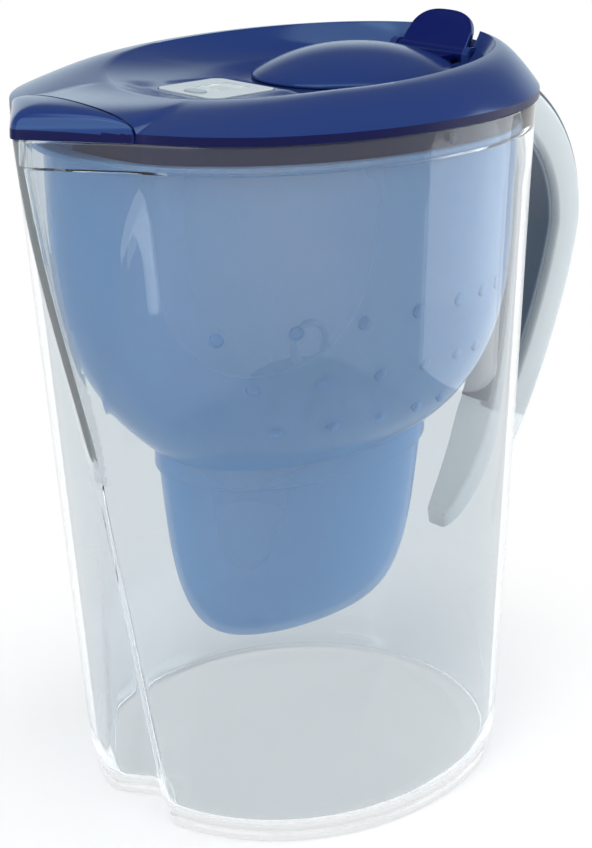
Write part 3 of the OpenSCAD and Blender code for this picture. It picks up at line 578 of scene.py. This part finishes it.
class PITCHER_OT_funnel(bpy.types.Operator):
    """Makes the blue funnel with its hopper, collar, well and dimples"""
    bl_idname = "pitcher.funnel"
    bl_label = "Funnel"

    def execute(self, context):
        cols = 160
        shares = [1 - (1 - k / 24) ** 2 for k in range(25)]
        well = [oval_row(WELL, well_inset(v), WELL_TOP - WELL_DEPTH * v, cols) for v in shares]
        inner_well = [
            oval_row(WELL, well_inset(v) + FUNNEL_WALL, WELL_TOP - WELL_DEPTH * v + FUNNEL_WALL, cols)
            for v in shares
        ]
        collar = tuple(w + COLLAR_STEP for w in WELL)
        hopper_z = [mix(COLLAR_Z, FLANGE_Z, (k / 40) ** 1.8) for k in range(40)]
        flange = jug_plan(FLANGE_Z)
        rows = list(reversed(well))
        rows += [oval_row(collar, 0.2, WELL_TOP + 0.8, cols), oval_row(collar, 0, WELL_TOP + 1.4, cols),
                 oval_row(collar, 0, COLLAR_Z - 0.4, cols)]
        rows += [oval_row(funnel_plan(z), 0, z, cols) for z in hopper_z]
        rows += [oval_row(funnel_plan(FLANGE_Z), 0, FLANGE_Z - 1.2, cols)]
        rows += [oval_row(flange, inset, z, cols) for inset, z in (
            (3.4, FLANGE_Z), (2.8, FLANGE_Z + 0.3), (2.6, FLANGE_Z + 0.8), (2.6, FLANGE_Z + 1.8),
            (3.0, FLANGE_Z + 2.2))]
        rows += [oval_row(funnel_plan(FLANGE_Z), 0.4, FLANGE_Z + FLANGE_T, cols)]
        rows += [oval_row(funnel_plan(z), FUNNEL_WALL, z, cols) for z in reversed(hopper_z)]
        rows += [oval_row(collar, FUNNEL_WALL, WELL_TOP + FUNNEL_WALL, cols)]
        rows += inner_well[1:]
        bm = bmesh.new()
        loft(bm, rows)
        finish_piece("funnel_shell", bm, material("funnel"), "funnel_unit", ("funnel",),
                     sharp=50)

        dots = bmesh.new()
        for low, rise, start, step, count in (
                (185.0, 5.0, -146.0, 18.5, 7), (167.5, 1.5, -137.5, 17.0, 6), (149.8, 1.2, -131.5, 16.0, 5)):
            turn = math.radians(start)
            for k in range(count):
                z = low + rise * (1 - DIMPLE_RISE ** k)
                plan = funnel_plan(z)
                p = oval_point(plan, 0, turn)
                ahead = oval_point(plan, 0, turn + 0.01)
                along = (ahead - p).normalized()
                normal = Vector((along.y, -along.x, 0))
                made = bmesh.ops.create_uvsphere(dots, u_segments=16, v_segments=8, radius=DIMPLE_R)["verts"]
                bmesh.ops.scale(dots, vec=(DIMPLE_FLAT, 1, 1), verts=made)
                spin = Matrix.Rotation(math.atan2(normal.y, normal.x), 3, "Z")
                bmesh.ops.rotate(dots, verts=made, matrix=spin)
                bmesh.ops.translate(dots, verts=made, vec=(p.x, p.y, z))
                turn += math.radians(step) * DIMPLE_CLOSING ** k
        finish_piece("funnel_dimples", dots, material("funnel"), "funnel_unit", ())
        return {"FINISHED"}


class PITCHER_OT_cartridge(bpy.types.Operator):
    """Finishes the filter cartridge in the well"""
    bl_idname = "pitcher.cartridge"
    bl_label = "Cartridge"

    def execute(self, context):
        for node, finish in (
            ("cartridge_cup", "white"), ("cartridge_cap", "white"), ("cartridge_seal", "seal"),
            ("upper_mesh", "mesh"), ("lower_mesh", "mesh"), ("filter_granules", "granules"),
            ("pull_ring", "white"),
        ):
            dress(node, finish)
        return {"FINISHED"}


LID_SIDE = 150
LID_NOSE = 22
LID_SHARP = 38
TAB_ROOM = 1.2
SWING_GAP = 0.3
CASE_ROOM = 0.7
CASE_ROUND = 4.3
NOTCH_LENGTH = 18.0
NOTCH_HEIGHT = 32.0
NOTCH_BACK = 7.4


def lid_turns():
    plan = jug_plan(RIM_Z)
    turn = math.pi - crease_turn(plan[2], SPOUT_HALF)
    return turn, [mix(-turn, turn, k / LID_SIDE) for k in range(LID_SIDE + 1)]


def seam_x(s):
    turn, _ = lid_turns()
    return oval_point(jug_plan(RIM_Z), 0, turn).x + SEAM_BACK - SEAM_BOW * (1 - s * s)


def seam_z(s):
    return BAND_Z + SEAM_RISE * math.sqrt(max(0.0, 1 - s * s))


NOSE_SHARES = [1 - k / LID_NOSE for k in range(1, 2 * LID_NOSE)]


def lid_outline(inset, front_inset):
    turn, turns = lid_turns()
    points = []
    for a in turns:
        fade = min(1.0, (turn - abs(a)) / math.radians(30))
        points.append(oval_point(jug_plan(RIM_Z), mix(front_inset, inset, smooth(fade)), a))
    for s in NOSE_SHARES:
        points.append(Vector((seam_x(s) + front_inset - SEAM_BACK, SPOUT_HALF * s)))
    return points


def lid_angles():
    turn, turns = lid_turns()
    nose = [math.copysign(mix(math.pi, turn, abs(s)), s) for s in NOSE_SHARES]
    return turns + nose


def round_points(front, back, half, mid=0.0):
    return [Vector(((front if math.cos(a) < 0 else back) * math.cos(a) + mid, half * math.sin(a)))
            for a in lid_angles()]


def edge_heights():
    return [BAND_Z] * (LID_SIDE + 1) + [BAND_Z + SEAM_RISE * math.sqrt(1 - s * s) for s in NOSE_SHARES]


def pad_height(p, z):
    """Levels the bowl round the indicator, so that its face lies flush."""
    dx = max(0.0, abs(p.x - CASE_MID) - CASE[0] / 2 - 1.0)
    dy = max(0.0, abs(p.y) - CASE[1] / 2 - 1.0)
    w = 1 - smooth(math.hypot(dx, dy) / 9.0)
    return mix(z, CASE_TOP - 0.25, w)


def rows_between(outer, inner, shares, height):
    return [
        [Vector((*a.lerp(b, t), height(i, t, a.lerp(b, t)))) for i, (a, b) in enumerate(zip(outer, inner))]
        for t in shares
    ]


class PITCHER_OT_lid(bpy.types.Operator):
    """Makes the lid's shell with its crown, bowl, skirt and the pocket of the indicator"""
    bl_idname = "pitcher.lid"
    bl_label = "Lid"

    def execute(self, context):
        outer = lid_outline(-LID_OVER, SEAM_BACK)
        under = lid_outline(SKIRT_INSET + SKIRT_T, SKIRT_INSET + SKIRT_T)
        skirt = lid_outline(SKIRT_INSET, SKIRT_INSET)
        edge = round_points(*RECESS)
        floor = round_points(HOLE[0] + 8, HOLE[0] + 8, HOLE[1] + 8, HOLE_MID)
        hole = round_points(HOLE[0], HOLE[0], HOLE[1], HOLE_MID)
        heights = edge_heights()

        tops = [CROWN_Z + CROWN_SLOPE * p.x
                - CROWN_DIP * max(0.0, (DIP_FROM - p.x) / (DIP_FROM + RECESS[0])) ** 1.3 for p in edge]

        def crown(drop):
            return lambda i, t, p: mix(heights[i], tops[i], ease(t, 0.95)) - drop

        def bowl(drop):
            return lambda i, q, p: pad_height(p, mix(tops[i], RECESS_Z, ease(q, 0.9))) - drop

        def level(z):
            return lambda i, t, p: z

        crown_shares = [(k / 18) ** 1.4 for k in range(19)]
        bowl_shares = [0.012, 0.035, 0.07] + [0.07 + 0.93 * k / 20 for k in range(1, 21)]
        rows = rows_between(outer, outer, [0], level(LID_LOW))
        rows += rows_between(outer, edge, crown_shares, crown(0))
        rows += rows_between(edge, floor, bowl_shares, bowl(0))
        rows += rows_between(hole, hole, [0], level(RECESS_Z))
        rows += rows_between(hole, hole, [0], level(RECESS_Z - LID_T))
        rows += rows_between(edge, floor, reversed(bowl_shares), bowl(LID_T))
        rows += rows_between(under, edge, reversed(crown_shares), crown(LID_T))
        rows += rows_between(under, under, [0], level(SKIRT_LOW))
        rows += rows_between(skirt, skirt, [0], level(SKIRT_LOW))
        rows += rows_between(skirt, skirt, [0], level(LID_LOW))
        bm = bmesh.new()
        loft(bm, rows, looped=True)
        shell = finish_piece("lid_cover", bm, material("lid"), "lid", ("lid_shell",),
                             sharp=LID_SHARP)
        self.cut(shell)
        # The upright edge and the skirt get painted shade: a far darker, duller finish
        second_finish(shell, material("lid_painted_shade"), on_painted_shade_band)
        dress("fill_flap_lugs", "lid")
        dress("pour_flap_lugs", "lid")
        return {"FINISHED"}

    def cut(self, shell):
        """Cuts out the indicator's pocket, the pour flap's swing and the room of the thumb tab."""
        room = 2 * TAB_HALF + TAB_ROOM
        pocket = bmesh.new()
        outline = rounded_outline(CASE[0] + CASE_ROOM, CASE[1] + CASE_ROOM, CASE_ROUND)
        loft(pocket, [[Vector((p.x + CASE_MID, p.y, z)) for p in outline] for z in (CASE_LOW - 0.3, 270.0)])
        cutters = [pocket]
        for axle, r, depth in (
                (POUR_AXLE, POUR_SWING, 2 * SPOUT_HALF + 2), (FILL_AXLE, BARREL_R + SWING_GAP, room)):
            bm = bmesh.new()
            bmesh.ops.create_cone(bm, cap_ends=True, segments=64, radius1=r, radius2=r, depth=depth)
            bmesh.ops.rotate(bm, verts=bm.verts, matrix=Matrix.Rotation(math.pi / 2, 3, "X"))
            bmesh.ops.translate(bm, verts=bm.verts, vec=(axle[0], 0, axle[1]))
            cutters.append(bm)
        notch = bmesh.new()
        bmesh.ops.create_cube(notch, size=1.0)
        bmesh.ops.scale(notch, vec=(NOTCH_LENGTH, room, NOTCH_HEIGHT), verts=notch.verts)
        bmesh.ops.translate(notch, vec=(-NOTCH_BACK, 0, NOTCH_HEIGHT / 2), verts=notch.verts)
        bmesh.ops.rotate(notch, matrix=Matrix.Rotation(TAB_LEAN + FLAP_SWING, 3, "Y"), verts=notch.verts)
        bmesh.ops.translate(notch, vec=(FILL_AXLE[0], 0, FILL_AXLE[1]), verts=notch.verts)
        cutters.append(notch)
        cutters = [finish_piece("cutter", bm, material("lid"), None) for bm in cutters]
        for cutter in cutters:
            modifier = shell.modifiers.new("Cut", "BOOLEAN")
            modifier.operation = "DIFFERENCE"
            modifier.solver = "EXACT"
            modifier.object = cutter
        bpy.context.view_layer.update()
        depsgraph = bpy.context.evaluated_depsgraph_get()
        mesh = bpy.data.meshes.new_from_object(shell.evaluated_get(depsgraph))
        shell.modifiers.clear()
        shell.data = mesh
        mesh.name = "lid_cover"
        for poly in mesh.polygons:
            poly.use_smooth = True
        mesh.set_sharp_from_angle(angle=math.radians(LID_SHARP))
        for cutter in cutters:
            bpy.data.objects.remove(cutter)


class PITCHER_OT_fill_flap(bpy.types.Operator):
    """Makes the domed fill flap, its thumb tab and their hinge"""
    bl_idname = "pitcher.fill_flap"
    bl_label = "Fill flap"

    def execute(self, context):
        flap_z = RECESS_Z + 0.3
        cols = 128

        def ring(r, z):
            return [Vector((FLAP[0] * r * math.cos(a) + HOLE_MID, FLAP[1] * r * math.sin(a), z))
                    for a in (2 * math.pi * k / cols - math.pi for k in range(cols))]

        def dome(r):
            return flap_z + 1.4 + FLAP_DOME * (1 - r ** 2.2)

        shares = [0.04 + 0.93 * k / 26 for k in range(27)]
        rows = [ring(min(r, 0.94), dome(r) - 1.8 + 0.4 * r) for r in shares]
        rows += [ring(0.94, flap_z + 0.1), ring(0.95, flap_z), ring(0.99, flap_z), ring(0.998, flap_z + 0.2),
                 ring(1.0, flap_z + 0.5), ring(1.0, flap_z + 1.0), ring(0.994, flap_z + 1.3),
                 ring(0.985, flap_z + 1.5)]
        rows += [ring(r, dome(r)) for r in reversed(shares)]
        bm = bmesh.new()
        loft(bm, rows)
        finish_piece("fill_flap_dome", bm, material("lid"), "fill_flap_unit", ("fill_flap",),
                     sharp=50)
        dress("fill_flap_axle", "tab")
        self.tab()
        return {"FINISHED"}

    def tab(self):
        """A rounded plate that leans back, dished on its face, on a barrel."""
        lean = TAB_LEAN
        length = TAB_HEIGHT / math.cos(lean)
        steps = 40
        outline = []
        for k in range(steps + 1):
            a = math.pi * k / steps
            outline.append((TAB_HALF * signed_pow(math.cos(a), 0.75), length * math.sin(a) ** 0.62))
        base = 2 * steps // 3
        for k in range(1, base):
            outline.append((mix(-TAB_HALF, TAB_HALF, k / base), -0.6))
        centre = (0.0, length * 0.45)
        up = Vector((math.sin(lean), 0, math.cos(lean)))
        out = Vector((math.cos(lean), 0, -math.sin(lean)))

        def ring(share, face):
            row = []
            for y, u in outline:
                q = (mix(centre[0], y, share), mix(centre[1], u, share))
                dish = 1.1 * (1 - share ** 2) if face < 0 else 0.0
                p = up * q[1] + out * (face + dish)
                row.append(Vector((p.x + FILL_AXLE[0], q[0], p.z + FILL_AXLE[1])))
            return row

        half = 1.3
        front = [(0.06, -half), (0.25, -half), (0.5, -half), (0.7, -half), (0.85, -half), (0.94, -half),
                 (0.98, -half + 0.15), (0.997, -half + 0.5), (1.0, 0.0), (0.997, half - 0.5),
                 (0.98, half - 0.15),
                 (0.94, half), (0.6, half), (0.3, half), (0.06, half)]
        bm = bmesh.new()
        loft(bm, [ring(share, face) for share, face in front])
        barrel = bmesh.ops.create_cone(bm, cap_ends=True, segments=48, radius1=BARREL_R, radius2=BARREL_R,
                                       depth=2 * TAB_HALF)["verts"]
        bmesh.ops.rotate(bm, verts=barrel, matrix=Matrix.Rotation(math.pi / 2, 3, "X"))
        bmesh.ops.translate(bm, verts=barrel, vec=(FILL_AXLE[0], 0, FILL_AXLE[1]))
        plate = bmesh.ops.create_cube(bm, size=1.0)["verts"]
        bmesh.ops.scale(bm, vec=(11.0, 2 * TAB_HALF - 6, 2.0), verts=plate)
        bmesh.ops.translate(bm, verts=plate, vec=(FILL_AXLE[0] - 5.5, 0, FILL_AXLE[1] - 0.9))
        finish_piece("flap_tab", bm, material("tab"), "fill_flap_unit", ("thumb_tab",), sharp=45)


class PITCHER_OT_pour_flap(bpy.types.Operator):
    """Makes the pour flap over the spout"""
    bl_idname = "pitcher.pour_flap"
    bl_label = "Pour flap"

    def execute(self, context):
        crease = oval_point(jug_plan(RIM_Z), 0, lid_turns()[0]).x
        tip = 0.05
        profile = 18
        steps = 64
        thick = 1.6

        def point(s, t, inset):
            share = (math.sqrt(s * s + tip * tip * (1 - s * s)) - tip) / (1 - tip)
            front = mix(-ridge(RIM_Z), crease, share) + inset
            return Vector((
                mix(seam_x(s) - 1.0, front, math.sin(math.pi / 2 * t) ** POUR_ROUND),
                SPOUT_HALF * s,
                mix(LID_LOW, seam_z(s) - inset, max(0.0, math.cos(math.pi / 2 * t)) ** POUR_ROUND),
            ))

        def ring(s):
            shares = [k / profile for k in range(profile + 1)]
            inner = thick * (1 - 0.55 * s * s)
            return [point(s, t, 0) for t in shares] + [point(s, t, inner) for t in reversed(shares)]

        bm = bmesh.new()
        loft(bm, [ring(mix(-0.97, 0.97, k / steps)) for k in range(steps + 1)])
        cover = finish_piece("pour_flap_cover", bm, material("lid"), "pour_flap_unit", ("pour_flap",),
                             sharp=45)
        # The flap's upright edge gets the same painted shade
        second_finish(cover, material("lid_painted_shade"), on_painted_shade_band)
        dress("pour_flap_axle", "tab")
        return {"FINISHED"}


class PITCHER_OT_indicator(bpy.types.Operator):
    """Makes the indicator's silver face, display and button"""
    bl_idname = "pitcher.indicator"
    bl_label = "Indicator"

    def execute(self, context):
        for node, finish in (
            ("indicator_case", "white"), ("display_panel", "display"), ("display_lens", "lens"),
            ("circuit_board", "board"), ("button_cell", "cell"), ("indicator_button", "button"),
            ("indicator_bezel", "silver"),
        ):
            dress(node, finish)
        bars = bmesh.new()
        for k in range(4):
            made = bmesh.ops.create_cube(bars, size=1.0)["verts"]
            bmesh.ops.scale(bars, vec=(6.0, 1.6, 0.06), verts=made)
            bmesh.ops.translate(bars, verts=made, vec=(CASE_MID + 3.0, (k - 1.5) * 2.6, CASE_TOP - 0.97))
        finish_piece("display_bars", bars, material("segments"), "lid", ())
        return {"FINISHED"}


LAMP_TINT = (0.94, 0.98, 1.0)
SHADED_PAPER = (0.57, 0.55, 0.54, 1.0)
WHITE_FROM, WHITE_AT = 0.085, 0.21
HORIZON = (0.14, 0.5)
CEILING_LIGHT = 0.18
ROOM_TINT = (0.8, 0.94, 1.0, 1.0)
CAMERA_PLACE = (-0.44983, -0.46876, 0.36309)
CAMERA_AIM = (0.00127, 0.0, 0.1276)


class PITCHER_OT_stage(bpy.types.Operator):
    """Makes the pale floor, the soft lamps and the camera"""
    bl_idname = "pitcher.stage"
    bl_label = "Stage"

    def execute(self, context):
        stage = context.scene.pitcher_stage
        self.floor(stage)
        self.world(context.scene)
        self.lamp("key", (-1.0, -0.2, 0.9), (0.9, 1.2), stage.key_power, (0.0, 0.0, 0.13))
        self.lamp("side", (1.1, -0.6, 0.7), (1.2, 1.2), stage.fill_power, (0.0, 0.0, 0.14))
        self.lamp("top", (-0.25, -0.3, 1.5), (1.1, 1.1), stage.key_power, (0.0, 0.0, 0.2))
        # A wide card for the pale part of the clear wall, and a narrow one for the streak by the spout
        self.lamp("card", (0.36, -0.3, 0.11), (0.36, 0.22), stage.card_power, (0.0, -0.03, 0.15))
        self.lamp("strip", (-0.5, -0.03, 0.15), (0.05, 0.3), stage.strip_power, (-0.09, -0.02, 0.15))
        self.camera(context.scene, stage)
        view = context.scene.view_settings
        view.view_transform = "Standard"
        return {"FINISHED"}

    def floor(self, stage):
        bm = bmesh.new()
        bmesh.ops.create_grid(bm, x_segments=1, y_segments=1, size=stage.floor_size / 2)
        mesh = bpy.data.meshes.new("floor")
        bm.to_mesh(mesh)
        bm.free()
        obj = bpy.data.objects.new("floor", mesh)
        obj.location.z = 0.0
        bpy.context.scene.collection.objects.link(obj)
        # Matt white paper: grey only where the object shades it, and plain white further out
        paper, tree = new_material("Matt white paper")
        place = add(tree, "ShaderNodeTexCoord")
        fibre = add(tree, "ShaderNodeTexNoise", {"Vector": place.outputs["Object"]},
                    {"Scale": 1 / (2 * MM), "Detail": 3.0})
        tint = add(tree, "ShaderNodeMapRange", {"Value": fibre.outputs["Fac"]},
                   {"To Min": 0.88, "To Max": 0.92})
        diffuse = add(tree, "ShaderNodeBsdfDiffuse", {"Color": tint.outputs["Result"]})
        shaded = add(tree, "ShaderNodeBsdfDiffuse", inputs={"Color": SHADED_PAPER})
        glow = add(tree, "ShaderNodeEmission", inputs={"Strength": 0.5})
        near = add(tree, "ShaderNodeAddShader", {0: shaded.outputs["BSDF"], 1: glow.outputs["Emission"]})
        white = add(tree, "ShaderNodeEmission", inputs={"Strength": 1.0})
        reach = add(tree, "ShaderNodeVectorMath", {0: place.outputs["Object"]}, operation="LENGTH")
        far = add(tree, "ShaderNodeMapRange", {"Value": reach.outputs["Value"]},
                  {"From Min": WHITE_FROM, "From Max": WHITE_AT}, interpolation_type="SMOOTHSTEP")
        sheet = add(tree, "ShaderNodeMixShader", {
            "Fac": far.outputs["Result"], 1: near.outputs["Shader"], 2: white.outputs["Emission"]})
        chosen = add(tree, "ShaderNodeMixShader", {
            "Fac": self.seen(tree), 1: diffuse.outputs["BSDF"], 2: sheet.outputs["Shader"]})
        add(tree, "ShaderNodeOutputMaterial", {"Surface": chosen.outputs["Shader"]})
        mesh.materials.append(paper)

    def seen(self, tree):
        """1 for rays that show the background: to the camera, in gloss and through clear plastic."""
        path = add(tree, "ShaderNodeLightPath")
        direct = add(tree, "ShaderNodeMath", {
            0: path.outputs["Is Camera Ray"], 1: path.outputs["Is Transmission Ray"]}, operation="MAXIMUM")
        both = add(tree, "ShaderNodeMath", {
            0: direct.outputs["Value"], 1: path.outputs["Is Glossy Ray"]}, operation="MAXIMUM")
        return both.outputs["Value"]

    def world(self, scene):
        world = bpy.data.worlds.new("Studio")
        scene.world = world
        world.use_nodes = True
        tree = world.node_tree
        tree.nodes.clear()
        path = add(tree, "ShaderNodeLightPath")
        seen = add(tree, "ShaderNodeMath", {
            0: path.outputs["Is Camera Ray"], 1: path.outputs["Is Transmission Ray"]}, operation="MAXIMUM")
        # A white horizon under a dark ceiling, which gives the gloss its depth
        place = add(tree, "ShaderNodeTexCoord")
        height = add(tree, "ShaderNodeSeparateXYZ", {0: place.outputs["Generated"]})
        level = add(tree, "ShaderNodeMapRange", {"Value": height.outputs["Z"]},
                    {"From Min": HORIZON[0], "From Max": HORIZON[1], "To Min": 1.0, "To Max": CEILING_LIGHT},
                    interpolation_type="SMOOTHSTEP")
        room = add(tree, "ShaderNodeBackground", {"Strength": level.outputs["Result"]},
                   {"Color": ROOM_TINT})
        white = add(tree, "ShaderNodeBackground", inputs={"Color": (1.0, 1.0, 1.0, 1.0), "Strength": 1.0})
        chosen = add(tree, "ShaderNodeMixShader", {
            "Fac": seen.outputs["Value"], 1: room.outputs["Background"], 2: white.outputs["Background"]})
        add(tree, "ShaderNodeOutputWorld", {"Surface": chosen.outputs["Shader"]})

    def lamp(self, name, place, size, power, target):
        light = bpy.data.lights.new(name, "AREA")
        light.color = LAMP_TINT
        light.shape = "RECTANGLE"
        light.size, light.size_y = size
        light.energy = power
        obj = bpy.data.objects.new(name, light)
        obj.location = place
        obj.rotation_euler = (Vector(target) - Vector(place)).to_track_quat("-Z", "Y").to_euler()
        obj.visible_camera = False
        bpy.context.scene.collection.objects.link(obj)

    def camera(self, scene, stage):
        data = bpy.data.cameras.new("camera")
        data.lens = stage.lens
        data.sensor_width = 36.0
        data.clip_start = 0.01
        obj = bpy.data.objects.new("camera", data)
        place = Vector(CAMERA_PLACE)
        obj.location = place
        obj.rotation_euler = (Vector(CAMERA_AIM) - place).to_track_quat("-Z", "Y").to_euler()
        scene.collection.objects.link(obj)
        scene.camera = obj


class PITCHER_PT_panel(bpy.types.Panel):
    """Lists the pitcher's pieces"""
    bl_label = "Pitcher"
    bl_idname = "PITCHER_PT_panel"
    bl_space_type = "VIEW_3D"
    bl_region_type = "UI"
    bl_category = "Pitcher"

    def draw(self, context):
        layout = self.layout
        for group in (context.scene.pitcher_colours, context.scene.pitcher_stage):
            for key in group.__annotations__:
                layout.prop(group, key)
        for operator in OPERATORS:
            layout.operator(operator.bl_idname)


OPERATORS = (
    PITCHER_OT_materials, PITCHER_OT_jug, PITCHER_OT_handle, PITCHER_OT_funnel, PITCHER_OT_cartridge,
    PITCHER_OT_lid, PITCHER_OT_fill_flap, PITCHER_OT_pour_flap, PITCHER_OT_indicator, PITCHER_OT_stage,
)
CLASSES = (PitcherColours, PitcherStage) + OPERATORS + (PITCHER_PT_panel,)


def register():
    for cls in CLASSES:
        bpy.utils.register_class(cls)
    bpy.types.Scene.pitcher_colours = bpy.props.PointerProperty(type=PitcherColours)
    bpy.types.Scene.pitcher_stage = bpy.props.PointerProperty(type=PitcherStage)


def unregister():
    del bpy.types.Scene.pitcher_colours
    del bpy.types.Scene.pitcher_stage
    for cls in reversed(CLASSES):
        bpy.utils.unregister_class(cls)


def main():
    register()
    for operator in OPERATORS:
        group, name = operator.bl_idname.split(".")
        getattr(getattr(bpy.ops, group), name)()


if __name__ == "__main__":
    main()
